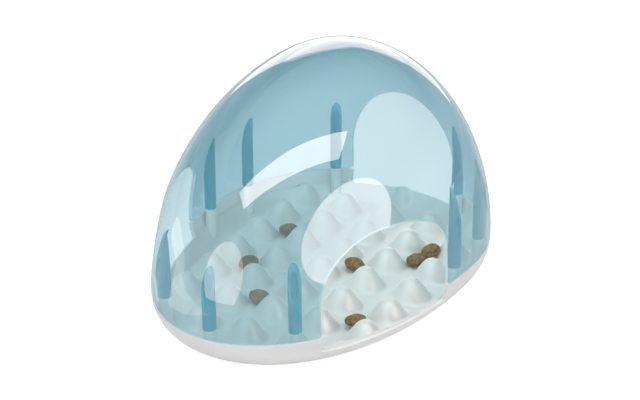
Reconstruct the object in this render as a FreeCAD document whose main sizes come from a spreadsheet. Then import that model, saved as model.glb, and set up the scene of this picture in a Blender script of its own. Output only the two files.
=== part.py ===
import FreeCAD, Part
import math
import os
from FreeCAD import Placement, Rotation, Vector

# Cat puzzle feeder: a see-through egg-shaped dome with three paw arches, standing on a white
# hull that holds a tray of round hills. Nine sleeves hang from the dome and sit on nine posts
# of the hull. +Z is up, +X points to the blunt end, the feet stand on Z = 0, and the origin is
# in the middle of the overall length and width.

doc = FreeCAD.newDocument("puzzle_feeder")
sizes = doc.addObject("Spreadsheet::Sheet", "sizes")

# Driving dimensions in millimetres and degrees: alias, value, meaning
DIMENSIONS = [
    ("nose_reach", 172.0, "outline, widest section to the narrow end"),
    ("blunt_reach", 108.0, "outline, widest section to the blunt end"),
    ("half_width", 102.5, "outline, half of its widest section"),
    ("dome_rise", 135.5, "dome, from its lower edge to its top"),
    ("dome_wall", 2.2, "dome wall"),
    ("seat_gap", 0.3, "gap under the dome edge and under each sleeve"),
    ("hull_depth", 27.0, "hull, from its rim to its flat bottom"),
    ("hull_round", 50.0, "hull, depth that its round side would reach without the flat bottom"),
    ("hull_wall", 2.4, "hull wall and floor"),
    ("foot_proud", 2.0, "feet, below the hull"),
    ("foot_seat", 1.0, "depth of the recess for a foot"),
    ("foot_radius", 7.0, "foot"),
    ("foot_slip", 0.15, "radial gap round a foot in its recess"),
    ("foot_edge", 0.8, "chamfer round a foot's lower edge"),
    ("foot_inset", 36.0, "feet, in from the outline"),
    ("tray_wall", 2.0, "tray sheet"),
    ("tray_gap", 0.4, "gap between the tray sheet and the hull"),
    ("brim_drop", 12.0, "tray edge, below the rim"),
    ("hill_pitch_long", 32.3, "spacing of the hills along X"),
    ("hill_pitch_wide", 34.0, "spacing of the hills along Y"),
    ("hill_reach", 16.0, "hill, radius of its foot"),
    ("hill_start", -26.1, "a line of hills, along X from the widest section"),
    ("hill_fullness", 2.5, "power in a hill's profile: the larger, the rounder its top"),
    ("hill_drop", 8.0, "hill tops, below the rim"),
    ("hollow_drop", 22.0, "hollows, below the rim"),
    ("hill_blend", 1.5, "rounding where the hills meet the tray's bowl"),
    ("pillar_inset", 8.0, "posts and sleeves, in from the outline"),
    ("pillar_turn_blunt", 31.4, "turn of the posts beside the end arch"),
    ("pillar_turn_mid", 74.0, "turn of the posts between the end and side arches"),
    ("pillar_turn_side", 96.5, "turn of the posts at the side arches, blunt side"),
    ("pillar_turn_nose", 150.3, "turn of the posts at the side arches, narrow side"),
    ("pillar_turn_tip", 180.0, "turn of the post at the narrow end"),
    ("post_radius", 3.9, "white post"),
    ("spigot_radius", 1.9, "spigot on top of a post"),
    ("spigot_length", 5.0, "spigot on top of a post"),
    ("sleeve_radius", 4.2, "blue sleeve"),
    ("bore_radius", 2.2, "bore of a sleeve"),
    ("sleeve_drop", 4.5, "lower end of the sleeves, above the rim"),
    ("side_arch_turn", 117.6, "direction that a side arch faces"),
    ("side_arch_shift", 40.0, "side arch, sideways from the middle of the widest section"),
    ("side_arch_nose_half", 52.3, "side arch, middle to its narrow-end side"),
    ("side_arch_blunt_half", 52.3, "side arch, middle to its blunt-end side"),
    ("side_arch_crown", -1.5, "side arch, crown from its middle"),
    ("side_arch_rise", 56.4, "side arch, crown above the rim"),
    ("side_arch_nose_spring", 18.0, "side arch, start of its curve, narrow-end side"),
    ("side_arch_blunt_spring", 32.0, "side arch, start of its curve, blunt-end side"),
    ("end_arch_half", 41.2, "end arch, half width"),
    ("end_arch_rise", 70.3, "end arch, crown above the rim"),
    ("end_arch_spring", 16.0, "end arch, start of its curve"),
    ("arch_corner", 3.0, "arches, rounding of the dome wall at its lower edge"),
    ("notch_depth", 12.0, "arches, cut down into the hull's rim"),
    ("notch_corner", 5.0, "arches, round corners at the bottom of the cut in the hull"),
    ("boss_radius", 4.0, "screw boss under a hill"),
    ("boss_tip_radius", 1.5, "top of a screw boss, inside the hill's sheet"),
    ("pad_height", 1.6, "screw pad on the hull's floor"),
    ("pad_radius", 5.5, "screw pad on the hull's floor"),
    ("head_radius", 2.8, "screw head"),
    ("head_height", 2.0, "screw head"),
    ("head_recess", 2.6, "recess of a screw head"),
    ("shank_radius", 1.4, "screw shank"),
    ("shank_length", 8.0, "screw shank"),
    ("drive_radius", 1.1, "socket in a screw head"),
    ("drive_depth", 1.1, "socket in a screw head"),
    ("screw_slip", 0.15, "radial gap round a screw"),
    ("screw_tip", 0.6, "room past a screw's tip"),
    ("kibble_radius", 6.8, "kibble, round in plan"),
    ("kibble_half", 4.0, "kibble, half of its thickness"),
    ("kibble_lift", 0.35, "kibble, above the tray"),
]
for row, (alias, value, meaning) in enumerate(DIMENSIONS, 1):
    sizes.set("A%d" % row, alias)
    sizes.set("B%d" % row, str(value))
    sizes.set("C%d" % row, meaning)
    sizes.setAlias("B%d" % row, alias)
doc.recompute()


def size(alias):
    return float(sizes.get(alias))


# Places that several pieces share, worked out from the driving dimensions. The end arch takes
# the top of the hull away at the blunt end, so the overall length ends where the hull is cut.
WIDEST_X = ("((sizes.nose_reach - sizes.blunt_reach"
            " * sqrt(1 - (sizes.notch_depth / sizes.hull_round) ^ 2)) / 2)")
RIM_LEVEL = "(sizes.foot_proud + sizes.hull_depth)"
cut_share = math.sqrt(1 - (size("notch_depth") / size("hull_round")) ** 2)
widest_x = (size("nose_reach") - size("blunt_reach") * cut_share) / 2
rim_level = size("foot_proud") + size("hull_depth")
BLUNT_TURN = -90
NOSE_TURN = 90


# Small helpers for document objects
def fuse(name, shapes):
    joined = doc.addObject("Part::MultiFuse", name)
    joined.Shapes = shapes
    return joined


def cut(name, base, tool):
    result = doc.addObject("Part::Cut", name)
    result.Base = base
    result.Tool = tool
    return result


def common(name, first, second):
    result = doc.addObject("Part::MultiCommon", name)
    result.Shapes = [first, second]
    return result


def cylinder(name, radius, height, x, y, z):
    rod = doc.addObject("Part::Cylinder", name)
    rod.setExpression("Radius", radius)
    rod.setExpression("Height", height)
    rod.setExpression("Placement.Base.x", x)
    rod.setExpression("Placement.Base.y", y)
    rod.setExpression("Placement.Base.z", z)
    return rod


def feature(name, shape):
    result = doc.addObject("Part::Feature", name)
    result.Shape = shape
    return result


def stand_at(inset, turn):
    """Expressions for a point on the outline drawn in by inset, at a turn from +X."""
    blunt_side = abs(((size(turn) if isinstance(turn, str) else turn) + 180) % 360 - 180) <= 90
    reach = "sizes.blunt_reach" if blunt_side else "sizes.nose_reach"
    angle = "sizes.%s * 1deg" % turn if isinstance(turn, str) else "%s * 1deg" % turn
    x = "%s + (%s - %s) * cos(%s)" % (WIDEST_X, reach, inset, angle)
    y = "(sizes.half_width - %s) * sin(%s)" % (inset, angle)
    return x, y


# Half of an egg, above or below the rim: two quarter ellipsoids that meet at the widest section
def quarter(name, reach, inset, height, turn, above):
    solid = doc.addObject("Part::Ellipsoid", name)
    solid.setExpression("Radius1", height)
    solid.setExpression("Radius2", "sizes.half_width - %s" % inset)
    solid.setExpression("Radius3", "%s - %s" % (reach, inset))
    solid.Angle1 = 0 if above else -90
    solid.Angle2 = 90 if above else 0
    solid.Angle3 = 180
    solid.Placement = Placement(Vector(), Rotation(Vector(0, 0, 1), turn))
    solid.setExpression("Placement.Base.x", WIDEST_X)
    solid.setExpression("Placement.Base.z", RIM_LEVEL + (" + sizes.seat_gap" if above else ""))
    return solid


def half_egg(name, inset, height, above):
    blunt = quarter(name + "_blunt", "sizes.blunt_reach", inset, height, BLUNT_TURN, above)
    nose = quarter(name + "_nose", "sizes.nose_reach", inset, height, NOSE_TURN, above)
    return fuse(name, [blunt, nose])


def bowl(name, inset, floor):
    """The lower half of the egg, drawn in by inset, above a flat floor."""
    block = doc.addObject("Part::Box", name + "_block")
    block.setExpression("Length", "2 * sizes.nose_reach")
    block.setExpression("Width", "2 * sizes.half_width")
    block.setExpression("Height", "sizes.hull_depth + sizes.foot_proud")
    block.setExpression("Placement.Base.x", "-sizes.nose_reach")
    block.setExpression("Placement.Base.y", "-sizes.half_width")
    block.setExpression("Placement.Base.z", floor)
    round_side = half_egg(name + "_round", inset, "sizes.hull_round - %s" % inset, False)
    return common(name, round_side, block)


# The shape of the tray's bowl: it stands on the hull's inner side, one gap above it
inner_depth = size("hull_round") - size("hull_wall")
inner_blunt = size("blunt_reach") - size("hull_wall")
inner_nose = size("nose_reach") - size("hull_wall")
inner_width = size("half_width") - size("hull_wall")
tray_lift = size("tray_wall") + size("tray_gap")
brim_share = math.sqrt(1 - ((size("brim_drop") + tray_lift) / inner_depth) ** 2)


def bowl_height(x, y):
    """Height of the tray's bowl, from the rim. Past its edge it goes on with the same slope."""
    reach = inner_blunt if x >= widest_x else inner_nose
    share = math.hypot((x - widest_x) / reach, y / inner_width)
    near = min(share, brim_share)
    rise = inner_depth * brim_share / math.sqrt(1 - brim_share ** 2)
    return tray_lift - inner_depth * math.sqrt(1 - near ** 2) + rise * (share - near)


def brim_outline():
    """The tray's edge in plan, where its bowl reaches the brim."""
    width = inner_width * brim_share
    middle = Vector(widest_x, 0, 0)
    flank = middle + Vector(0, width, 0)
    edges = []
    for reach, side in ((inner_blunt * brim_share, 1), (inner_nose * brim_share, -1)):
        tip = middle + Vector(side * reach, 0, 0)
        longer, shorter = (tip, flank) if reach >= width else (flank, tip)
        curve = Part.Ellipse(longer, shorter, middle)
        ends = sorted([curve.parameter(flank), curve.parameter(middle - Vector(0, width, 0))])
        arc = Part.ArcOfEllipse(curve, ends[0], ends[1])
        if (arc.value((ends[0] + ends[1]) / 2).x - widest_x) * side < 0:
            arc = Part.ArcOfEllipse(curve, ends[1], ends[0])
        edges.append(arc.toShape())
    return Part.Wire(Part.__sortEdges__(edges))


# Height of the tray's top surface: hills on a square grid that run out onto the bowl
def tray_height(x, y):
    long, wide = size("hill_pitch_long"), size("hill_pitch_wide")
    from_hill_x = (x - widest_x - size("hill_start") + long / 2) % long - long / 2
    from_hill_y = (y + wide / 2) % wide - wide / 2
    share = min(1.0, math.hypot(from_hill_x, from_hill_y) / size("hill_reach"))
    rise = size("hollow_drop") - size("hill_drop")
    full = size("hill_fullness")
    hills = rise * (1 - share ** full) ** full - size("hollow_drop")
    side = bowl_height(x, y)
    rounding = math.sqrt((hills - side) ** 2 + size("hill_blend") ** 2)
    return rim_level + (hills + side + rounding) / 2


# Dome: shell with nine sleeves and three arches
PILLARS = [("pillar_turn_blunt", 1), ("pillar_turn_blunt", -1), ("pillar_turn_mid", 1),
           ("pillar_turn_mid", -1), ("pillar_turn_side", 1), ("pillar_turn_side", -1),
           ("pillar_turn_nose", 1), ("pillar_turn_nose", -1), ("pillar_turn_tip", 1)]


def pillar_places():
    for number, (turn, side) in enumerate(PILLARS, 1):
        x, y = stand_at("sizes.pillar_inset", turn)
        yield number, x, y if side > 0 else "-(%s)" % y


def rounded(start, corner, end):
    """A quarter circle from start to end, tangent to both sides of the corner."""
    centre = start + end - corner
    middle = centre + (corner - centre).normalize() * (start - centre).Length
    return Part.Arc(start, middle, end).toShape()


def straight(start, end):
    return Part.LineSegment(start, end).toShape()


def quarter_ellipse(side, top):
    """From the vertical at side to the level at top."""
    centre = Vector(top.x, 0, side.z)
    longer, shorter = (side, top) if abs(side.x - top.x) >= top.z - side.z else (top, side)
    curve = Part.Ellipse(longer, shorter, centre)
    first, last = curve.parameter(side), curve.parameter(top)
    arc = Part.ArcOfEllipse(curve, first, last)
    middle = arc.value((arc.FirstParameter + arc.LastParameter) / 2)
    if (middle.x - top.x) * (side.x - top.x) < 0 or middle.z < side.z:
        arc = Part.ArcOfEllipse(curve, last, first)
    return arc.toShape()


def dome_face(left, right, crown, rise, left_spring, right_spring):
    """The arch in the dome, with the wall's two lower corners rounded off."""
    low = rim_level + size("seat_gap")
    under = rim_level - 1.0
    corner = size("arch_corner")
    top = Vector(crown, 0, rim_level + rise)
    edges = []
    for side, way, spring in ((-left, -1, left_spring), (right, 1, right_spring)):
        outside = side + way * corner
        wall_foot = Vector(side, 0, low + corner)
        wall_top = Vector(side, 0, rim_level + spring)
        edges += [straight(Vector(outside, 0, under), Vector(outside, 0, low)),
                  rounded(Vector(outside, 0, low), Vector(side, 0, low), wall_foot),
                  straight(wall_foot, wall_top), quarter_ellipse(wall_top, top)]
    edges.append(straight(Vector(-left - corner, 0, under), Vector(right + corner, 0, under)))
    return Part.Face(Part.Wire(Part.__sortEdges__(edges)))


def hull_face(left, right):
    """The cut in the hull's rim below an arch, with round corners at its bottom."""
    above = rim_level + 1.0
    low = rim_level - size("notch_depth")
    corner = size("notch_corner")
    edges = []
    for side, way in ((-left, -1), (right, 1)):
        wall_foot = Vector(side, 0, low + corner)
        floor_end = Vector(side - way * corner, 0, low)
        edges += [straight(Vector(side, 0, above), wall_foot),
                  rounded(wall_foot, Vector(side, 0, low), floor_end)]
    edges.append(straight(Vector(corner - left, 0, low), Vector(right - corner, 0, low)))
    edges.append(straight(Vector(-left, 0, above), Vector(right, 0, above)))
    return Part.Face(Part.Wire(Part.__sortEdges__(edges)))


def arch_cutter(name, face, turn, shift):
    """The face pushed outwards from the middle of the widest section, towards its turn."""
    profile = feature(name + "_profile", face)
    cutter = doc.addObject("Part::Extrusion", name)
    cutter.Base = profile
    cutter.DirMode = "Custom"
    cutter.Solid = True
    cutter.setExpression("LengthFwd", "sizes.nose_reach")
    facing = Vector(math.cos(math.radians(turn)), math.sin(math.radians(turn)), 0)
    along = Vector(-facing.y, facing.x, 0)
    start = Vector(widest_x, 0, 0) + along * shift + facing * size("blunt_reach") / 4
    profile.Placement = Placement(start, Rotation(Vector(0, 0, 1), turn + 90))
    cutter.Dir = facing
    return cutter


def arches(purpose):
    """Cutters for the end arch and for the two side arches, which mirror each other."""
    nose_half, blunt_half = size("side_arch_nose_half"), size("side_arch_blunt_half")
    nose_spring, blunt_spring = size("side_arch_nose_spring"), size("side_arch_blunt_spring")
    crown, rise = size("side_arch_crown"), size("side_arch_rise")
    end_half, end_spring = size("end_arch_half"), size("end_arch_spring")
    if purpose == "dome":
        end = dome_face(end_half, end_half, 0.0, size("end_arch_rise"), end_spring, end_spring)
        right = dome_face(nose_half, blunt_half, crown, rise, nose_spring, blunt_spring)
        left = dome_face(blunt_half, nose_half, -crown, rise, blunt_spring, nose_spring)
    else:
        end = hull_face(end_half, end_half)
        right = hull_face(nose_half, blunt_half)
        left = hull_face(blunt_half, nose_half)
    turn, shift = size("side_arch_turn"), size("side_arch_shift")
    return [arch_cutter(purpose + "_end_arch", end, 0.0, 0.0),
            arch_cutter(purpose + "_right_arch", right, -turn, -shift),
            arch_cutter(purpose + "_left_arch", left, turn, shift)]


def make_dome():
    tubes = []
    lower_end = RIM_LEVEL + " + sizes.sleeve_drop"
    for number, x, y in pillar_places():
        outside = cylinder("sleeve_%d" % number, "sizes.sleeve_radius", "sizes.dome_rise", x, y, lower_end)
        bore = cylinder("bore_%d" % number, "sizes.bore_radius", "sizes.dome_rise", x, y, lower_end)
        tubes.append(cut("tube_%d" % number, outside, bore))
    inner = half_egg("inner_dome", "sizes.dome_wall", "sizes.dome_rise - sizes.dome_wall", True)
    outer = half_egg("outer_dome", "0", "sizes.dome_rise", True)
    shell = cut("dome_shell", outer, cut("cavity", inner, fuse("tubes", tubes)))
    return cut("dome", shell, fuse("dome_arches", arches("dome")))


# Hull: a bowl shell with nine posts, cut under the arches, with feet recesses and screw wells
SCREW_HILLS = [(-2, 1), (-2, -1), (0, 1), (0, -1), (2, 1), (2, -1)]
FOOT_TURNS = [20, 90, 155, 205, 270, 340]


def hill_place(column, row):
    return (WIDEST_X + " + sizes.hill_start + %s * sizes.hill_pitch_long" % column,
            "%s * sizes.hill_pitch_wide" % row)


def make_hull():
    outer = bowl("hull_outside", "0", "sizes.foot_proud")
    inner = bowl("hull_inside", "sizes.hull_wall", "sizes.foot_proud + sizes.hull_wall")
    posts = []
    spigots = []
    for number, x, y in pillar_places():
        posts.append(cylinder("post_%d" % number, "sizes.post_radius", "sizes.hull_depth",
                              x, y, "sizes.foot_proud"))
        neck = "sizes.sleeve_drop - sizes.seat_gap"
        spigots.append(cylinder("neck_%d" % number, "sizes.post_radius", neck, x, y, RIM_LEVEL))
        spigots.append(cylinder("spigot_%d" % number, "sizes.spigot_radius",
                                neck + " + sizes.spigot_length", x, y, RIM_LEVEL))
    pads = []
    holes = arches("hull")
    for number, (column, row) in enumerate(SCREW_HILLS, 1):
        x, y = hill_place(column, row)
        pads.append(cylinder("pad_%d" % number, "sizes.pad_radius", "sizes.hull_wall + sizes.pad_height",
                             x, y, "sizes.foot_proud"))
        holes.append(cylinder("well_%d" % number, "sizes.head_radius + sizes.screw_slip",
                              "sizes.head_recess", x, y, "sizes.foot_proud"))
        holes.append(cylinder("clear_%d" % number, "sizes.shank_radius + sizes.screw_slip",
                              "sizes.hull_depth / 2", x, y, "sizes.foot_proud"))
    for number, turn in enumerate(FOOT_TURNS, 1):
        x, y = stand_at("sizes.foot_inset", turn)
        holes.append(cylinder("recess_%d" % number, "sizes.foot_radius + sizes.foot_slip",
                              "sizes.foot_seat", x, y, "sizes.foot_proud"))
    hollow = cut("hull_hollow", inner, fuse("posts_and_pads", posts + pads))
    body = fuse("hull_body", [cut("hull_shell", outer, hollow)] + spigots)
    return cut("hull", body, fuse("hull_holes", holes))


def inside_hill(radius):
    """Expression for the level halfway through the tray's sheet, at a radius from a hill's middle."""
    share = "(1 - (%s / sizes.hill_reach) ^ sizes.hill_fullness) ^ sizes.hill_fullness" % radius
    return ("(%s - sizes.hollow_drop + (sizes.hollow_drop - sizes.hill_drop) * %s"
            " - sizes.tray_wall / 2)" % (RIM_LEVEL, share))


# Tray: the hill sheet with screw bosses under six hills, cut back round the posts
def make_tray():
    samples = 10
    step_x, step_y = size("hill_pitch_long") / samples, size("hill_pitch_wide") / samples
    first_x = widest_x - size("nose_reach")
    columns = int(math.ceil((size("nose_reach") + size("blunt_reach")) / step_x)) + 1
    rows = int(math.ceil(2 * size("half_width") / step_y)) + 1
    first_y = -(rows - 1) * step_y / 2
    grid = [[Vector(first_x + i * step_x, first_y + j * step_y,
                    tray_height(first_x + i * step_x, first_y + j * step_y))
             for j in range(rows)] for i in range(columns)]
    surface = Part.BSplineSurface()
    surface.interpolate(grid)
    sheet = surface.toShape().extrude(Vector(0, 0, -size("tray_wall")))
    blank = Part.Face(brim_outline()).extrude(Vector(0, 0, rim_level))
    hills = common("hill_sheet", feature("sheet_blank", sheet), feature("tray_outline", blank))
    reliefs = [cylinder("relief_%d" % number, "sizes.post_radius + sizes.tray_gap", RIM_LEVEL, x, y, "0")
               for number, x, y in pillar_places()]
    hills = cut("hill_sheet_cut", hills, fuse("reliefs", reliefs))
    bosses = []
    low = "sizes.foot_proud + sizes.hull_wall + sizes.pad_height"
    edge = inside_hill("sizes.boss_radius")
    tip = inside_hill("sizes.boss_tip_radius")
    for number, (column, row) in enumerate(SCREW_HILLS, 1):
        x, y = hill_place(column, row)
        boss = cylinder("boss_%d" % number, "sizes.boss_radius", "%s - (%s)" % (edge, low), x, y, low)
        cap = doc.addObject("Part::Cone", "boss_cap_%d" % number)
        cap.setExpression("Radius1", "sizes.boss_radius")
        cap.setExpression("Radius2", "sizes.boss_tip_radius")
        cap.setExpression("Height", "%s - (%s)" % (tip, edge))
        cap.setExpression("Placement.Base.x", x)
        cap.setExpression("Placement.Base.y", y)
        cap.setExpression("Placement.Base.z", edge)
        pilot = cylinder("pilot_%d" % number, "sizes.shank_radius + sizes.screw_slip",
                         "sizes.shank_length - sizes.pad_height + sizes.screw_tip", x, y, low)
        bosses.append(cut("drilled_boss_%d" % number, fuse("whole_boss_%d" % number, [boss, cap]), pilot))
    return fuse("tray", [hills] + bosses)


# Rubber foot with a chamfered lower edge
def make_foot(number, turn):
    x, y = stand_at("sizes.foot_inset", turn)
    disc = cylinder("foot_disc_%d" % number, "sizes.foot_radius",
                    "sizes.foot_proud + sizes.foot_seat - sizes.foot_edge", x, y, "sizes.foot_edge")
    edge = doc.addObject("Part::Cone", "foot_edge_%d" % number)
    edge.setExpression("Radius1", "sizes.foot_radius - sizes.foot_edge")
    edge.setExpression("Radius2", "sizes.foot_radius")
    edge.setExpression("Height", "sizes.foot_edge")
    edge.setExpression("Placement.Base.x", x)
    edge.setExpression("Placement.Base.y", y)
    return fuse("foot_%d" % number, [disc, edge])


# Screw with a flat head and a round socket
def make_screw(number, column, row):
    x, y = hill_place(column, row)
    seat = "sizes.foot_proud + sizes.head_recess"
    head = cylinder("head_%d" % number, "sizes.head_radius", "sizes.head_height", x, y,
                    seat + " - sizes.head_height")
    shank = cylinder("shank_%d" % number, "sizes.shank_radius", "sizes.shank_length", x, y, seat)
    socket = cylinder("drive_%d" % number, "sizes.drive_radius", "sizes.drive_depth", x, y,
                      seat + " - sizes.head_height")
    return cut("screw_%d" % number, fuse("blank_%d" % number, [head, shank]), socket)


# Kibble lying in hollows: column, row, shift along X and Y, tilt, direction of the tilt's axis
KIBBLE = [(0.5, -0.5, 0.5, 0.0, 14.0, 30.0), (1.5, -1.5, -5.5, 0.0, 10.0, 190.0),
          (1.5, -1.5, 6.9, -4.7, 24.0, 217.0), (-1.5, -1.5, -6.0, -4.5, 20.0, 141.0),
          (1.5, 1.5, -6.0, -1.0, 10.0, 120.0), (-0.5, 1.5, 0.0, -3.0, 16.0, 240.0),
          (-1.5, 0.5, -6.0, -1.0, 12.0, 0.0)]


def make_kibble(number, column, row, shift_x, shift_y, tilt, tilt_turn):
    """A rounded disc, tilted, and set down on the tray from above."""
    x = widest_x + size("hill_start") + column * size("hill_pitch_long") + shift_x
    y = row * size("hill_pitch_wide") + shift_y
    piece = doc.addObject("Part::Ellipsoid", "kibble_%d" % number)
    piece.setExpression("Radius1", "sizes.kibble_half")
    piece.setExpression("Radius2", "sizes.kibble_radius")
    piece.setExpression("Radius3", "sizes.kibble_radius")
    piece.Angle1 = -90
    piece.Angle2 = 90
    piece.Angle3 = 360
    turn = math.radians(tilt_turn)
    lean = Rotation(Vector(math.cos(turn), math.sin(turn), 0), tilt)
    radius, half = size("kibble_radius"), size("kibble_half")
    level = 0.0
    for ring in range(1, 10):
        polar = math.radians(90 + ring * 10)
        for step in range(24):
            around = math.radians(15 * step)
            point = Vector(radius * math.sin(polar) * math.cos(around),
                           radius * math.sin(polar) * math.sin(around), half * math.cos(polar))
            point = lean.multVec(point)
            level = max(level, tray_height(x + point.x, y + point.y) - point.z)
    piece.Placement = Placement(Vector(x, y, level + size("kibble_lift")), lean)
    return piece


# Every piece under its own name
pieces = {"dome_cover": make_dome(), "base_hull": make_hull(), "hill_tray": make_tray()}
FOOT_NAMES = ["blunt_left", "left", "nose_left", "nose_right", "right", "blunt_right"]
for number, turn in enumerate(FOOT_TURNS, 1):
    pieces["foot_" + FOOT_NAMES[number - 1]] = make_foot(number, turn)
SCREW_NAMES = ["nose_left", "nose_right", "middle_left", "middle_right", "blunt_left", "blunt_right"]
for number, (column, row) in enumerate(SCREW_HILLS, 1):
    pieces["screw_" + SCREW_NAMES[number - 1]] = make_screw(number, column, row)
for number, place in enumerate(KIBBLE, 1):
    pieces["kibble_%d" % number] = make_kibble(number, *place)
for name, piece in pieces.items():
    piece.Label = name
doc.recompute()

# Nothing is written unless every object is sound
for item in doc.Objects:
    if "Invalid" in item.State or "Error" in item.State:
        raise RuntimeError("%s: %s" % (item.Name, item.State))
os.makedirs("parts", exist_ok=True)
for name, piece in pieces.items():
    if piece.Shape.isNull() or not piece.Shape.isValid() or len(piece.Shape.Solids) != 1:
        raise RuntimeError("%s is not one sound solid" % name)
    piece.Shape.Solids[0].exportStep("parts/%s.step" % name)
    box = piece.Shape.BoundBox
    print("%-20s %9.0f mm3  %7.1f %7.1f %7.1f to %7.1f %7.1f %7.1f" % (
        name, piece.Shape.Volume, box.XMin, box.YMin, box.ZMin, box.XMax, box.YMax, box.ZMax))
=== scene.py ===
import math

import bmesh
import bpy
from mathutils import Matrix, Vector, noise


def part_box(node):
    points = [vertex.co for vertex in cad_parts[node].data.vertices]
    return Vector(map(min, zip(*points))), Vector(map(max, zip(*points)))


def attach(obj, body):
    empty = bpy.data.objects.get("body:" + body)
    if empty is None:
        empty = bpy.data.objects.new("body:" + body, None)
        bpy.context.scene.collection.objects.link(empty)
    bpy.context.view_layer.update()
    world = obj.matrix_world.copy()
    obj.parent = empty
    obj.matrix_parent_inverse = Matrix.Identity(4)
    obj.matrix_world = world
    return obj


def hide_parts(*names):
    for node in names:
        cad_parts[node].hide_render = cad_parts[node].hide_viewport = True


# Cat puzzle feeder: a see-through blue dome on a white base with a tray of hills.
# Shapes are made in millimetres, and each piece is scaled to metres when it is finished.
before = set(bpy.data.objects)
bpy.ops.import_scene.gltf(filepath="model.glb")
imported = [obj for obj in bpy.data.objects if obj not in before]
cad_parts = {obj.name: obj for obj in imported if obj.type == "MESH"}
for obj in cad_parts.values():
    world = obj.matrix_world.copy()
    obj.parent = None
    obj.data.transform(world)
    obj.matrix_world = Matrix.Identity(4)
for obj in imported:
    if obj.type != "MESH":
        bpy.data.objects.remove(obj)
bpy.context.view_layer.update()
MM = 0.001

# Outline and heights, as in the part's solids
NOSE_REACH = 172.0
BLUNT_REACH = 108.0
HALF_WIDTH = 102.5
DOME_RISE = 135.5
DOME_WALL = 2.2
SEAT_GAP = 0.3
HULL_DEPTH = 27.0
HULL_ROUND = 50.0
HULL_WALL = 2.4
FOOT_PROUD = 2.0
NOTCH_DEPTH = 12.0
RIM = FOOT_PROUD + HULL_DEPTH
DOME_EDGE = RIM + SEAT_GAP
WIDEST_X = (NOSE_REACH - BLUNT_REACH * math.sqrt(1 - (NOTCH_DEPTH / HULL_ROUND) ** 2)) / 2

# Posts of the hull, their spigots, and the dome's sleeves over them
PILLAR_INSET = 8.0
PILLAR_TURNS = (31.4, -31.4, 74.0, -74.0, 96.5, -96.5, 150.3, -150.3, 180.0)
POST_RADIUS = 3.9
POST_ROOT = 4.0
SPIGOT_RADIUS = 1.9
SPIGOT_LENGTH = 5.0
SPIGOT_CHAMFER = 0.4
SLEEVE_RADIUS = 4.2
SLEEVE_CHAMFER = 0.3
BORE_RADIUS = 2.2
SLEEVE_DROP = 4.5

# Arches: turn, sideways shift, half widths left and right, crown, rise, left and right springs
END_ARCH = (0.0, 0.0, 41.2, 41.2, 0.0, 70.3, 16.0, 16.0)
RIGHT_ARCH = (-117.6, -40.0, 52.3, 52.3, -1.5, 56.4, 18.0, 32.0)
LEFT_ARCH = (117.6, 40.0, 52.3, 52.3, 1.5, 56.4, 32.0, 18.0)
ARCHES = (END_ARCH, RIGHT_ARCH, LEFT_ARCH)
ARCH_CORNER = 3.0
NOTCH_CORNER = 5.0

# Tray of hills
TRAY_WALL = 2.0
TRAY_GAP = 0.4
BRIM_DROP = 12.0
BRIM_FIT = 0.1
HILL_PITCH_LONG = 32.3
HILL_PITCH_WIDE = 34.0
HILL_REACH = 16.0
HILL_START = -26.1
HILL_FULLNESS = 2.5
HILL_DROP = 8.0
HOLLOW_DROP = 22.0
HILL_BLEND = 1.5

# The bowl's depth, and places on it counted as bowl_share does: from where the tray's side runs on
# straight to the brim, how far the brim reaches, and from where the tray is solid under its hills
BOWL_DEPTH = HULL_ROUND - HULL_WALL
BRIM_SHARE = math.sqrt(1 - ((BRIM_DROP + TRAY_WALL + TRAY_GAP) / BOWL_DEPTH) ** 2)
BRIM_REACH = math.sqrt(1 - (BRIM_DROP / BOWL_DEPTH) ** 2)
BRIM_SOLID = 0.9

# Dry food: node, tilt in degrees, and the direction of the axis that it is tilted about. Its
# lumps and pits are two noises, and LUMP_STEP keeps one piece's lumps apart from the next one's.
FOOD = (("kibble_1", 14.0, 30.0), ("kibble_2", 10.0, 190.0), ("kibble_3", 24.0, 217.0),
        ("kibble_4", 20.0, 141.0), ("kibble_5", 10.0, 120.0), ("kibble_6", 16.0, 240.0),
        ("kibble_7", 12.0, 0.0))
FOOD_RADIUS = 7.2
FOOD_HALF = 4.0
FOOD_FULLNESS = 0.97
LUMP_SCALE = 1.7
LUMP_HEIGHT = 0.07
PIT_SCALE = 3.1
PIT_HEIGHT = 0.03
LUMP_STEP = 5.3

# How finely the shapes are divided
EGG_SEGMENTS = 160
EGG_RINGS = 80
ROUND_SIDES = 48
SPIGOT_SIDES = 32
CHAMFER_STEPS = 3
CROWN_STEPS = 24
CORNER_STEPS = 8
GRID_LONG = 200
GRID_WIDE = 140
BLANK_SIDES = 240
FOOD_DIVISIONS = 5

# How far cutting shapes run past what they cut
CUT_PAST = 3.0
SKIRT = 2.0
BORE_PAST = 1.0
POST_PAST = 20.0
RELIEF_PAST = 5.0

# How near counts as touching, as level and as in the plane of a cut. Points nearer than a merge
# distance become one. A face faces down where the Z of its normal is below FACES_DOWN.
TOUCHING = 1e-3
LEVEL = 1e-6
IN_PLANE = 1e-5
SOLID_MERGE = 0.002
TRAY_MERGE = 0.05
FACES_DOWN = -0.99

# Angle in degrees from which an edge stays sharp
CREASE = 32.0
TRAY_CREASE = 40.0
FOOD_CREASE = 80.0

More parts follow.
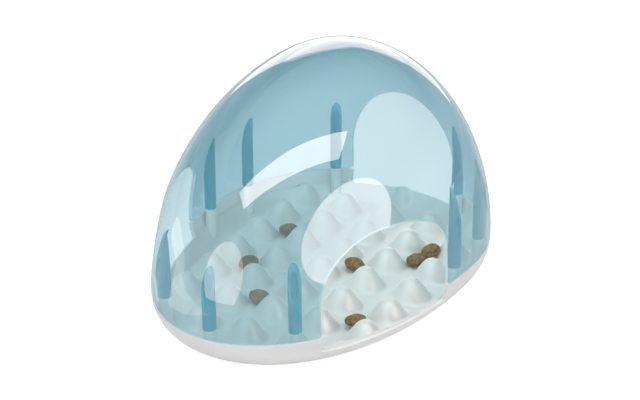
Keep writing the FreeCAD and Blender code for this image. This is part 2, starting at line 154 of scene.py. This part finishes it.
# Colours: red, green, blue and alpha
WALL_TINT = (0.535, 0.695, 0.75, 1)
WALL_SLANT_TINT = (0.30, 0.50, 0.575, 1)
EDGE_TINT = (0.76, 0.88, 0.91, 1)
SLEEVE_TINT = (0.09, 0.40, 0.50, 1)
SHADOW_TINT = (0.88, 0.975, 0.98, 1)
TRAY_WHITES = ((0.80, 0.80, 0.795, 1), (0.83, 0.83, 0.825, 1))
RUBBER_GREYS = ((0.30, 0.30, 0.30, 1), (0.36, 0.36, 0.355, 1))
STEEL_GREY = (0.62, 0.62, 0.60, 1)
# Dry food browns, dark to light: the dark end is also painted shade in the food's pits
FOOD_BROWNS_AND_PIT_SHADE = ((0.09, 0.045, 0.018, 1), (0.36, 0.215, 0.09, 1))
CLEAR_PLASTIC_IOR = 1.49


# Finishes. Noise scales count per metre.
def grey(level):
    return (level, level, level, 1)


def new_material(name):
    material = bpy.data.materials.new(name)
    material.use_nodes = True
    nodes = material.node_tree.nodes
    return material, nodes, material.node_tree.links, nodes["Principled BSDF"]


def add_noise(nodes, links, scale, detail):
    place = nodes.new("ShaderNodeTexCoord")
    grain = nodes.new("ShaderNodeTexNoise")
    grain.inputs["Scale"].default_value = scale
    grain.inputs["Detail"].default_value = detail
    links.new(place.outputs["Object"], grain.inputs["Vector"])
    return grain


def add_ramp(nodes, links, factor, colours, start=0.35, end=0.65):
    ramp = nodes.new("ShaderNodeValToRGB")
    ramp.color_ramp.elements[0].position = start
    ramp.color_ramp.elements[1].position = end
    ramp.color_ramp.elements[0].color = colours[0]
    ramp.color_ramp.elements[1].color = colours[1]
    links.new(factor, ramp.inputs["Fac"])
    return ramp


def add_bump(nodes, links, height, surface, strength, distance):
    bump = nodes.new("ShaderNodeBump")
    bump.inputs["Strength"].default_value = strength
    bump.inputs["Distance"].default_value = distance
    links.new(height, bump.inputs["Height"])
    links.new(bump.outputs["Normal"], surface.inputs["Normal"])


def any_ray(nodes, links, kinds):
    """1 for a light ray of one of these kinds, else 0."""
    path = nodes.new("ShaderNodeLightPath")
    total = path.outputs[kinds[0]]
    for kind in kinds[1:]:
        more = nodes.new("ShaderNodeMath")
        more.operation = "MAXIMUM"
        links.new(total, more.inputs[0])
        links.new(path.outputs[kind], more.inputs[1])
        total = more.outputs["Value"]
    return total


def show_mix(nodes, links, factor, first, second, output="Material Output"):
    """Shows the first shader where the factor is 0 and the second where it is 1."""
    mix = nodes.new("ShaderNodeMixShader")
    links.new(factor, mix.inputs["Fac"])
    links.new(first, mix.inputs[1])
    links.new(second, mix.inputs[2])
    links.new(mix.outputs["Shader"], nodes[output].inputs["Surface"])


def make_clear_plastic(name, tint, cloud, roughness, slant_tint=None):
    """Clear moulded plastic, a little cloudy. Lamps shine through it, so that what it covers is lit.
    A slant tint is its colour where it is seen along its thickness."""
    material, nodes, links, surface = new_material(name)
    surface.inputs["Base Color"].default_value = tint
    surface.inputs["Transmission Weight"].default_value = 1.0 - cloud
    surface.inputs["Roughness"].default_value = roughness
    surface.inputs["IOR"].default_value = CLEAR_PLASTIC_IOR
    if slant_tint:
        slant = nodes.new("ShaderNodeLayerWeight")
        colour = add_ramp(nodes, links, slant.outputs["Facing"], (tint, slant_tint), 0.35, 0.8)
        links.new(colour.outputs["Color"], surface.inputs["Base Color"])
        flow = add_noise(nodes, links, scale=14.0, detail=1.0)
        add_bump(nodes, links, flow.outputs["Fac"], surface, strength=0.15, distance=0.0004)
    else:
        grain = add_noise(nodes, links, scale=900.0, detail=3.0)
        add_bump(nodes, links, grain.outputs["Fac"], surface, strength=0.3, distance=0.0002)
    lit_through = any_ray(nodes, links, ("Is Shadow Ray", "Is Diffuse Ray"))
    clear = nodes.new("ShaderNodeBsdfTransparent")
    clear.inputs["Color"].default_value = SHADOW_TINT
    show_mix(nodes, links, lit_through, surface.outputs["BSDF"], clear.outputs["BSDF"])
    return material


def make_tray_plastic():
    """White moulded plastic with a satin skin."""
    material, nodes, links, surface = new_material("white_satin_plastic")
    shade = add_noise(nodes, links, scale=9.0, detail=3.0)
    colour = add_ramp(nodes, links, shade.outputs["Fac"], TRAY_WHITES)
    links.new(colour.outputs["Color"], surface.inputs["Base Color"])
    rough = add_ramp(nodes, links, shade.outputs["Fac"], (grey(0.34), grey(0.42)))
    links.new(rough.outputs["Color"], surface.inputs["Roughness"])
    grain = add_noise(nodes, links, scale=900.0, detail=2.0)
    add_bump(nodes, links, grain.outputs["Fac"], surface, strength=0.08, distance=0.0002)
    return material


def make_rubber():
    """Grey rubber with a fine grain."""
    material, nodes, links, surface = new_material("soft_grey_rubber")
    grain = add_noise(nodes, links, scale=1400.0, detail=3.0)
    colour = add_ramp(nodes, links, grain.outputs["Fac"], RUBBER_GREYS)
    links.new(colour.outputs["Color"], surface.inputs["Base Color"])
    surface.inputs["Roughness"].default_value = 0.75
    add_bump(nodes, links, grain.outputs["Fac"], surface, strength=0.3, distance=0.0001)
    return material


def make_steel():
    """Plated steel, unevenly dull."""
    material, nodes, links, surface = new_material("zinc_plated_steel")
    grain = add_noise(nodes, links, scale=1600.0, detail=2.0)
    rough = add_ramp(nodes, links, grain.outputs["Fac"], (grey(0.28), grey(0.42)))
    surface.inputs["Base Color"].default_value = STEEL_GREY
    surface.inputs["Metallic"].default_value = 1.0
    links.new(rough.outputs["Color"], surface.inputs["Roughness"])
    return material


def make_food():
    """Baked dry food: brown, varying at random, and darker where its bumps are low, which is painted
    shade in its pits.
    """
    material, nodes, links, surface = new_material("dry_food")
    # One noise gives both tone and bumps, so the pits are darker: painted shade on top of a random
    # baked tone
    crust_and_pit_shade = add_noise(nodes, links, scale=420.0, detail=6.0)
    colour = add_ramp(nodes, links, crust_and_pit_shade.outputs["Fac"], FOOD_BROWNS_AND_PIT_SHADE, 0.3, 0.7)
    links.new(colour.outputs["Color"], surface.inputs["Base Color"])
    surface.inputs["Roughness"].default_value = 0.85
    add_bump(nodes, links, crust_and_pit_shade.outputs["Fac"], surface, strength=0.6, distance=0.0006)
    return material


# Shapes
def scaled(bm, factors, verts=None):
    bmesh.ops.scale(bm, vec=factors, verts=verts if verts is not None else bm.verts)


def moved(bm, offset):
    bmesh.ops.translate(bm, vec=offset, verts=bm.verts)


def grown_verts(bm, faces):
    """Extrudes faces and gives the new points, still in the old place."""
    grown = bmesh.ops.extrude_face_region(bm, geom=faces)
    return [g for g in grown["geom"] if isinstance(g, bmesh.types.BMVert)]


def egg_shaped(bm, blunt, nose, half_width, height):
    """Makes a round shape of radius 1 an egg in plan, widest at the origin."""
    for side, reach in ((1, blunt), (-1, nose)):
        scaled(bm, (reach, 1, 1), [v for v in bm.verts if v.co.x * side > LEVEL])
    scaled(bm, (1, half_width, height))


def half_egg(inset, height, base, above, floor=None, skirt=0.0):
    """Closed upper or lower half of the egg. A skirt carries its flat side on past base."""
    bm = bmesh.new()
    bmesh.ops.create_uvsphere(bm, u_segments=EGG_SEGMENTS, v_segments=EGG_RINGS, radius=1.0)
    egg_shaped(bm, BLUNT_REACH - inset, NOSE_REACH - inset, HALF_WIDTH - inset, height)
    moved(bm, (WIDEST_X, 0, base))
    bisect_flat(bm, base, 1 if above else -1)
    if floor is not None:
        bisect_flat(bm, floor, 1)
    if skirt:
        lid = [f for f in bm.faces if all(abs(v.co.z - base) < TOUCHING for v in f.verts)]
        bmesh.ops.translate(bm, vec=(0, 0, skirt), verts=grown_verts(bm, lid))
        bmesh.ops.delete(bm, geom=lid, context="FACES_ONLY")
    return bm


def bisect_flat(bm, level, keep):
    """Cuts at a level, keeps the side above (1) or below (-1) it and closes the cut."""
    bmesh.ops.bisect_plane(bm, geom=bm.verts[:] + bm.edges[:] + bm.faces[:], dist=IN_PLANE,
                           plane_co=(0, 0, level), plane_no=(0, 0, 1),
                           clear_outer=keep < 0, clear_inner=keep > 0)
    open_edges = [e for e in bm.edges if e.is_boundary]
    edges = [e for e in open_edges if all(abs(v.co.z - level) < TOUCHING for v in e.verts)]
    bmesh.ops.contextual_create(bm, geom=edges)


def cylinder(radius, low, high, x, y, segments=ROUND_SIDES, bevel=0.0):
    """An upright round solid between two levels, its rims chamfered by the bevel."""
    bm = bmesh.new()
    bmesh.ops.create_cone(bm, cap_ends=True, segments=segments, radius1=radius, radius2=radius,
                          depth=high - low)
    moved(bm, (x, y, (low + high) / 2))
    if bevel:
        rims = [e for e in bm.edges if abs(e.verts[0].co.z - e.verts[1].co.z) < LEVEL]
        bmesh.ops.bevel(bm, geom=rims, offset=bevel, offset_type="OFFSET", segments=CHAMFER_STEPS,
                        profile=0.5, affect="EDGES", material=-1)
    return bm


def pillar_places():
    """Where the posts and sleeves stand: inside the outline, at turns about its widest section."""
    for turn in PILLAR_TURNS:
        angle = math.radians(turn)
        reach = (BLUNT_REACH if math.cos(angle) > 0 else NOSE_REACH) - PILLAR_INSET
        yield WIDEST_X + reach * math.cos(angle), (HALF_WIDTH - PILLAR_INSET) * math.sin(angle)


def run_to(bm, tip, x, z):
    """Draws a straight line from tip in the XZ plane."""
    end = bmesh.ops.extrude_vert_indiv(bm, verts=[tip])["verts"][0]
    end.co = Vector((x, 0, z))
    return end


def turn_about(bm, tip, x, z, degrees, steps, tallness=1.0):
    """Draws an arc from tip about a centre in the XZ plane, made taller or flatter."""
    known = set(bm.verts)
    ring = bmesh.ops.spin(bm, geom=[tip], cent=(x, 0, z), axis=(0, 1, 0), dvec=(0, 0, 0),
                          angle=math.radians(degrees), steps=steps, use_duplicate=False)
    fresh = [v for v in bm.verts if v not in known]
    bmesh.ops.scale(bm, vec=(1, 1, tallness), space=Matrix.Translation((-x, 0, -z)), verts=fresh)
    return [g for g in ring["geom_last"] if isinstance(g, bmesh.types.BMVert)][0]


def arch_side(bm, wall, way, crown, rise, spring):
    """Draws one side of an arch in the dome, from below its edge up to the crown."""
    corner_x = wall + way * ARCH_CORNER
    foot = bm.verts.new((corner_x, 0, RIM - CUT_PAST))
    tip = run_to(bm, foot, corner_x, DOME_EDGE)
    tip = turn_about(bm, tip, corner_x, DOME_EDGE + ARCH_CORNER, way * 90, CORNER_STEPS)
    tip = run_to(bm, tip, wall, RIM + spring)
    tallness = (rise - spring) / abs(wall - crown)
    turn_about(bm, tip, crown, RIM + spring, -way * 90, CROWN_STEPS, tallness)
    return foot


def notch_side(bm, wall, way):
    """Draws one side of the cut in the hull's rim, down to its floor."""
    low = RIM - NOTCH_DEPTH
    head = bm.verts.new((wall, 0, RIM + CUT_PAST))
    tip = run_to(bm, head, wall, low + NOTCH_CORNER)
    tip = turn_about(bm, tip, wall - way * NOTCH_CORNER, low + NOTCH_CORNER, way * 90, CORNER_STEPS)
    return head, tip


def arch_cutter(arch, for_dome):
    """An arch as a solid that reaches out from inside the egg."""
    turn, shift, left, right, crown, rise, left_spring, right_spring = arch
    bm = bmesh.new()
    if for_dome:
        feet = [arch_side(bm, -left, -1, crown, rise, left_spring),
                arch_side(bm, right, 1, crown, rise, right_spring)]
        bm.edges.new(feet)
    else:
        sides = [notch_side(bm, -left, -1), notch_side(bm, right, 1)]
        bm.edges.new([sides[0][0], sides[1][0]])
        bm.edges.new([sides[0][1], sides[1][1]])
    bmesh.ops.remove_doubles(bm, verts=bm.verts, dist=TOUCHING)
    bmesh.ops.contextual_create(bm, geom=bm.edges[:])
    bmesh.ops.translate(bm, vec=(0, -NOSE_REACH, 0), verts=grown_verts(bm, bm.faces[:]))
    moved(bm, (shift, -BLUNT_REACH / 4, 0))
    bmesh.ops.rotate(bm, cent=(0, 0, 0), matrix=Matrix.Rotation(math.radians(turn + 90), 3, "Z"),
                     verts=bm.verts)
    moved(bm, (WIDEST_X, 0, 0))
    bmesh.ops.recalc_face_normals(bm, faces=bm.faces)
    return bm


# Putting pieces together. A face's finish is its number in its piece's list of materials, and the
# boolean steps keep it where every solid has as many places in its list.
WALL, CUT_EDGE, SLEEVE = range(3)


def with_finish(bm, finish):
    for face in bm.faces:
        face.material_index = finish
    return bm


def solid_object(bm, name="solid", materials=(None, None, None)):
    mesh = bpy.data.meshes.new(name)
    for material in materials:
        mesh.materials.append(material)
    bmesh.ops.recalc_face_normals(bm, faces=bm.faces)
    bm.to_mesh(mesh)
    bm.free()
    thing = bpy.data.objects.new(name, mesh)
    bpy.context.scene.collection.objects.link(thing)
    return thing


def combined(base, steps, merge=SOLID_MERGE):
    """The base bmesh after boolean steps, each an operation and a list of bmeshes."""
    thing = solid_object(base)
    tools, groups = [], []
    for operation, parts in steps:
        group = bpy.data.collections.new("tools")
        for part in parts:
            tool = solid_object(part)
            bpy.context.scene.collection.objects.unlink(tool)
            group.objects.link(tool)
            tools.append(tool)
        groups.append(group)
        step = thing.modifiers.new(operation, "BOOLEAN")
        step.operation = operation
        step.operand_type = "COLLECTION"
        step.collection = group
        step.solver = "EXACT"
        step.use_self = len(parts) > 1
    seen = thing.evaluated_get(bpy.context.evaluated_depsgraph_get())
    result = bmesh.new()
    result.from_mesh(seen.to_mesh())
    seen.to_mesh_clear()
    for old in [thing] + tools:
        bpy.data.meshes.remove(old.data)
    for group in groups:
        bpy.data.collections.remove(group)
    bmesh.ops.remove_doubles(result, verts=result.verts, dist=merge)
    bmesh.ops.dissolve_degenerate(result, dist=merge / 2, edges=result.edges)
    return result


def finished(bm, name, body, materials, stands_for, crease=CREASE):
    """The piece as an object in metres, smooth but for its creases."""
    scaled(bm, (MM, MM, MM))
    bmesh.ops.recalc_face_normals(bm, faces=bm.faces)
    for face in bm.faces:
        face.smooth = True
    for edge in bm.edges:
        edge.smooth = not edge.is_manifold or edge.calc_face_angle(0.0) < math.radians(crease)
    piece = solid_object(bm, name, materials)
    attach(piece, body)
    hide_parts(*stands_for)


# The pieces
def make_dome(materials):
    """The dome's wall with its arches cut through, and the sleeves that hang from it."""
    inner = half_egg(DOME_WALL, DOME_RISE - DOME_WALL, DOME_EDGE, above=True, skirt=-SKIRT)
    low = RIM + SLEEVE_DROP
    high = RIM + DOME_RISE
    tube_walls = []
    for x, y in pillar_places():
        tube = with_finish(cylinder(SLEEVE_RADIUS, low, high, x, y, bevel=SLEEVE_CHAMFER), SLEEVE)
        bore = with_finish(cylinder(BORE_RADIUS, low - BORE_PAST, high + BORE_PAST, x, y), SLEEVE)
        tube_walls.append(combined(tube, [("DIFFERENCE", [bore])]))
    cavity = combined(inner, [("DIFFERENCE", tube_walls)])
    outer = half_egg(0.0, DOME_RISE, DOME_EDGE, above=True)
    for face in outer.faces:
        face.material_index = CUT_EDGE if face.normal.z < FACES_DOWN else WALL
    arches = [with_finish(arch_cutter(arch, True), CUT_EDGE) for arch in ARCHES]
    dome = combined(outer, [("DIFFERENCE", [cavity]), ("DIFFERENCE", arches)])
    finished(dome, "clear_dome", "dome", materials, ["dome_cover"])


def make_hull(material):
    """The round white hull, open at the top, with its posts and spigots."""
    outer = half_egg(0.0, HULL_ROUND, RIM, above=False, floor=FOOT_PROUD)
    inner = half_egg(HULL_WALL, BOWL_DEPTH, RIM, above=False, floor=FOOT_PROUD + HULL_WALL,
                     skirt=SKIRT)
    post_top = RIM + SLEEVE_DROP - SEAT_GAP
    posts, necks, spigots = [], [], []
    for x, y in pillar_places():
        posts.append(cylinder(POST_RADIUS, 0, RIM + POST_PAST, x, y))
        necks.append(cylinder(POST_RADIUS, RIM - POST_ROOT, post_top, x, y))
        spigots.append(cylinder(SPIGOT_RADIUS, RIM - POST_ROOT, post_top + SPIGOT_LENGTH, x, y,
                                SPIGOT_SIDES, SPIGOT_CHAMFER))
    inner = combined(inner, [("DIFFERENCE", posts)])
    notches = [arch_cutter(arch, False) for arch in ARCHES]
    hull = combined(outer, [("DIFFERENCE", [inner]), ("UNION", necks), ("UNION", spigots),
                            ("DIFFERENCE", notches)])
    finished(hull, "white_hull", "base", [material], ["base_hull"])


def bowl_share(x, y):
    """How far a place is from the middle of the bowl: 1 is its wall at the rim."""
    reach = (BLUNT_REACH if x >= WIDEST_X else NOSE_REACH) - HULL_WALL
    return math.hypot((x - WIDEST_X) / reach, y / (HALF_WIDTH - HULL_WALL))


def bowl_side(share):
    """Top of the tray where it lies on the bowl, counted from the rim."""
    near = min(share, BRIM_SHARE)
    side = TRAY_WALL + TRAY_GAP - BOWL_DEPTH * math.sqrt(1 - near ** 2)
    return side + BOWL_DEPTH * BRIM_SHARE / math.sqrt(1 - BRIM_SHARE ** 2) * (share - near)


def tray_height(x, y):
    """Top of the tray: hills on a square grid that run out onto the bowl's side."""
    from_hill_x = (x - WIDEST_X - HILL_START + HILL_PITCH_LONG / 2) % HILL_PITCH_LONG
    from_hill_y = (y + HILL_PITCH_WIDE / 2) % HILL_PITCH_WIDE
    from_hill = math.hypot(from_hill_x - HILL_PITCH_LONG / 2, from_hill_y - HILL_PITCH_WIDE / 2)
    knob = (1 - min(1, from_hill / HILL_REACH) ** HILL_FULLNESS) ** HILL_FULLNESS
    hills = (HOLLOW_DROP - HILL_DROP) * knob - HOLLOW_DROP
    side = bowl_side(bowl_share(x, y))
    rounding = math.sqrt((hills - side) ** 2 + HILL_BLEND ** 2)
    return RIM + (hills + side + rounding) / 2


def make_tray(material):
    """The sheet of hills, cut off at the bowl and solid near the brim."""
    sheet = bmesh.new()
    bmesh.ops.create_grid(sheet, x_segments=GRID_LONG, y_segments=GRID_WIDE, size=1.0)
    scaled(sheet, ((NOSE_REACH + BLUNT_REACH) / 2, HALF_WIDTH, 1))
    moved(sheet, (WIDEST_X + (BLUNT_REACH - NOSE_REACH) / 2, 0, 0))
    for vert in sheet.verts:
        vert.co.z = tray_height(vert.co.x, vert.co.y)
    lower = grown_verts(sheet, sheet.faces[:])
    bmesh.ops.translate(sheet, vec=(0, 0, -TRAY_WALL), verts=lower)
    for vert in lower:
        share = bowl_share(vert.co.x, vert.co.y)
        if share > BRIM_SOLID:
            vert.co.z = min(vert.co.z, RIM + bowl_side(share) - TRAY_WALL)
    blank = bmesh.new()
    bmesh.ops.create_cone(blank, cap_ends=True, segments=BLANK_SIDES, radius1=1, radius2=1,
                          depth=RIM)
    egg_shaped(blank, (BLUNT_REACH - HULL_WALL) * BRIM_REACH, (NOSE_REACH - HULL_WALL) * BRIM_REACH,
               (HALF_WIDTH - HULL_WALL) * BRIM_REACH, 1)
    moved(blank, (WIDEST_X, 0, RIM / 2))
    bowl = half_egg(HULL_WALL + BRIM_FIT, BOWL_DEPTH - BRIM_FIT, RIM, above=False)
    reliefs = [cylinder(POST_RADIUS + TRAY_GAP, 0, RIM + RELIEF_PAST, x, y)
               for x, y in pillar_places()]
    tray = combined(sheet, [("INTERSECT", [blank]), ("INTERSECT", [bowl]), ("DIFFERENCE", reliefs)],
                    merge=TRAY_MERGE)
    finished(tray, "hill_field", "base", [material], ["hill_tray"], TRAY_CREASE)


def make_food_piece(number, name, tilt, tilt_turn, material):
    """A lumpy disc of dry food, laid where the part has it."""
    low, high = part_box(name)
    middle = (low + high) / 2 / MM
    bm = bmesh.new()
    bmesh.ops.create_icosphere(bm, subdivisions=FOOD_DIVISIONS, radius=1.0)
    for vert in bm.verts:
        spot = vert.co * LUMP_SCALE + Vector((number * LUMP_STEP, 0, 0))
        lump = noise.noise(spot) * LUMP_HEIGHT + noise.noise(spot * PIT_SCALE) * PIT_HEIGHT
        vert.co *= FOOD_FULLNESS + lump
    scaled(bm, (FOOD_RADIUS, FOOD_RADIUS, FOOD_HALF))
    axis = Vector((math.cos(math.radians(tilt_turn)), math.sin(math.radians(tilt_turn)), 0))
    bmesh.ops.rotate(bm, cent=(0, 0, 0), matrix=Matrix.Rotation(math.radians(tilt), 3, axis),
                     verts=bm.verts)
    moved(bm, middle)
    finished(bm, name.replace("kibble", "food"), "base", [material], [name], FOOD_CREASE)


wall_plastic = make_clear_plastic("aqua_clear_plastic", WALL_TINT, cloud=0.05, roughness=0.0,
                                  slant_tint=WALL_SLANT_TINT)
edge_plastic = make_clear_plastic("aqua_cut_edge", EDGE_TINT, cloud=0.9, roughness=0.45)
sleeve_plastic = make_clear_plastic("aqua_deep_sleeve", SLEEVE_TINT, cloud=0.5, roughness=0.25)
tray_plastic = make_tray_plastic()
rubber = make_rubber()
steel = make_steel()
food = make_food()

make_dome([wall_plastic, edge_plastic, sleeve_plastic])
make_hull(tray_plastic)
make_tray(tray_plastic)
for number, (name, tilt, tilt_turn) in enumerate(FOOD):
    make_food_piece(number, name, tilt, tilt_turn, food)
for name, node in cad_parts.items():
    if name.startswith(("foot", "screw")):
        node.data.materials.clear()
        node.data.materials.append(rubber if name.startswith("foot") else steel)

# Floor and studio: sizes in metres, brightnesses where 1 is white, and how high the ceiling starts
# and is at its darkest, where 1 is overhead
FLOOR_HALF = 6.0
FLOOR_GREY = 0.8
FLOOR_SEEN_GREY = 0.38
FLOOR_GLOW = 0.84
FLOOR_GLOW_IN_GLOSS = 0.3
STUDIO_LEVEL = 0.42
BACKDROP_LEVEL = 1.0
BACKDROP_IN_GLOSS = 0.35
CEILING_GREY = 0.15
CEILING_START = 0.12
CEILING_FULL = 0.35
SEEN_OR_MIRRORED = ("Is Camera Ray", "Is Glossy Ray", "Is Transmission Ray")


def dimmer_in_gloss(nodes, links, seen, reflected):
    """A brightness for what is seen directly or through the plastic, and one for its gloss."""
    path = nodes.new("ShaderNodeLightPath")
    level = nodes.new("ShaderNodeMapRange")
    level.inputs["To Min"].default_value = seen
    level.inputs["To Max"].default_value = reflected
    links.new(path.outputs["Is Reflection Ray"], level.inputs["Value"])
    return level.outputs["Result"]


def make_floor():
    """A white floor. Where it is seen it glows, so that it is white up to the object's shadow."""
    bm = bmesh.new()
    bmesh.ops.create_grid(bm, x_segments=1, y_segments=1, size=FLOOR_HALF)
    material, nodes, links, surface = new_material("white_floor")
    surface.inputs["Base Color"].default_value = grey(FLOOR_GREY)
    surface.inputs["Roughness"].default_value = 0.9
    surface.inputs["Specular IOR Level"].default_value = 0.0
    shaded = nodes.new("ShaderNodeBsdfDiffuse")
    shaded.inputs["Color"].default_value = grey(FLOOR_SEEN_GREY)
    glow = nodes.new("ShaderNodeEmission")
    level = dimmer_in_gloss(nodes, links, FLOOR_GLOW, FLOOR_GLOW_IN_GLOSS)
    links.new(level, glow.inputs["Strength"])
    seen = nodes.new("ShaderNodeAddShader")
    links.new(shaded.outputs["BSDF"], seen.inputs[0])
    links.new(glow.outputs["Emission"], seen.inputs[1])
    factor = any_ray(nodes, links, SEEN_OR_MIRRORED)
    show_mix(nodes, links, factor, surface.outputs["BSDF"], seen.outputs["Shader"])
    solid_object(bm, "floor", [material])


def make_world():
    """An even studio. What the plastic mirrors of it is a white backdrop under a darker ceiling."""
    world = bpy.data.worlds.new("studio")
    bpy.context.scene.world = world
    world.use_nodes = True
    nodes, links = world.node_tree.nodes, world.node_tree.links
    plain = nodes["Background"]
    plain.inputs["Color"].default_value = grey(1)
    plain.inputs["Strength"].default_value = STUDIO_LEVEL
    place = nodes.new("ShaderNodeTexCoord")
    height = nodes.new("ShaderNodeSeparateXYZ")
    links.new(place.outputs["Generated"], height.inputs["Vector"])
    mirrored = nodes.new("ShaderNodeMath")
    path = nodes.new("ShaderNodeLightPath")
    mirrored.operation = "SUBTRACT"
    links.new(height.outputs["Z"], mirrored.inputs[0])
    links.new(path.outputs["Is Camera Ray"], mirrored.inputs[1])
    shade = add_ramp(nodes, links, mirrored.outputs["Value"], (grey(1), grey(CEILING_GREY)),
                     CEILING_START, CEILING_FULL)
    backdrop = nodes.new("ShaderNodeBackground")
    links.new(shade.outputs["Color"], backdrop.inputs["Color"])
    level = dimmer_in_gloss(nodes, links, BACKDROP_LEVEL, BACKDROP_IN_GLOSS)
    links.new(level, backdrop.inputs["Strength"])
    factor = any_ray(nodes, links, SEEN_OR_MIRRORED)
    show_mix(nodes, links, factor, plain.outputs["Background"], backdrop.outputs["Background"],
             "World Output")


# Softboxes: name, place, what it faces, the way its height runs, width, height, its brightness in
# the plastic's gloss and for the light that it gives, and its outline. Lengths are in metres.
MIDDLE = (0.0, 0.0, 0.06)
UPRIGHT = (0, 0, 1)
SOFTBOXES = (
    ("strip_overhead", (-0.32, -0.206, 1.3), (-0.32, -0.206, 0.0), (1, 1, 0),
     1.65, 0.375, 11.0, 7.7, "RECTANGLE"),
    ("softbox_right", (-0.15, -1.2, 0.47), MIDDLE, UPRIGHT,
     1.2, 1.05, 7.8, 4.0, "ELLIPSE"),
    ("softbox_nose", (-1.18, 0.22, 0.3), MIDDLE, UPRIGHT,
     0.9, 0.9, 5.2, 4.4, "ELLIPSE"),
    ("panel_behind", (1.4, 0.6, 0.03), (0, 0, 0.03), UPRIGHT,
     1.4, 1.76, 2.0, 0.0, "ELLIPSE"),
    ("panel_above", (1.36, 0.58, 0.6), MIDDLE, UPRIGHT,
     1.1, 0.6, 1.2, 0.0, "ELLIPSE"),
    ("card_left", (-0.375, 0.68, 0.004), (-0.375, 0.68, 1.0), (-0.25, 0.97, 0),
     0.18, 1.2, 1.8, 0.0, "RECTANGLE"),
    ("panel_left", (-0.35, 1.22, 0.07), (-0.17, 0.05, 0.07), UPRIGHT,
     0.75, 0.3, 1.8, 0.0, "ELLIPSE"),
)
GLOSS_COLOUR = (1.0, 0.82, 0.76)


def make_lamp(name, place, aim, up, size_x, size_y, brightness, shape, for_gloss):
    """One lamp of a softbox. Seen directly, a brightness of 1 would be plain white."""
    data = bpy.data.lights.new(name, "AREA")
    data.shape = shape
    data.size = size_x
    data.size_y = size_y
    if for_gloss:
        data.color = GLOSS_COLOUR
    data.energy = brightness * math.pi * size_x * size_y * (math.pi / 4 if shape == "ELLIPSE" else 1)
    lamp = bpy.data.objects.new(name, data)
    back = (Vector(place) - Vector(aim)).normalized()
    across = Vector(up).cross(back).normalized()
    turn = Matrix((across, back.cross(across), back)).transposed()
    lamp.matrix_world = Matrix.Translation(place) @ turn.to_4x4()
    lamp.visible_camera = False
    lamp.visible_transmission = False
    lamp.visible_diffuse = not for_gloss
    lamp.visible_glossy = for_gloss
    bpy.context.scene.collection.objects.link(lamp)


def make_softbox(name, place, aim, up, size_x, size_y, gloss, light, shape):
    """A softbox as a lamp for the plastic's gloss and, where it has light, one that gives it."""
    make_lamp(name + "_gloss", place, aim, up, size_x, size_y, gloss, shape, True)
    if light:
        make_lamp(name + "_light", place, aim, up, size_x, size_y, light, shape, False)


# The photograph's camera: where it stands, the middle of the rim's widest section that it faces,
# its lens, and how far the picture is shifted from the lens axis, in parts of its width
CAMERA_PLACE = (-0.8578, -0.48437, 0.5246)
CAMERA_TARGET = (0.03358, 0.0, 0.029)
CAMERA_LENS = 92.511
CAMERA_SHIFT = (-0.03021, 0.04779)


def make_camera():
    data = bpy.data.cameras.new("photo_camera")
    data.lens = CAMERA_LENS
    data.sensor_width = 36.0
    data.sensor_fit = "HORIZONTAL"
    data.shift_x, data.shift_y = CAMERA_SHIFT
    data.clip_start = 0.05
    data.clip_end = 50.0
    camera = bpy.data.objects.new("photo_camera", data)
    camera.location = CAMERA_PLACE
    aim = Vector(CAMERA_TARGET) - Vector(CAMERA_PLACE)
    camera.rotation_euler = aim.to_track_quat("-Z", "Y").to_euler()
    bpy.context.scene.collection.objects.link(camera)
    bpy.context.scene.camera = camera


make_floor()
make_world()
for softbox in SOFTBOXES:
    make_softbox(*softbox)
make_camera()
bpy.context.scene.view_settings.view_transform = "Standard"
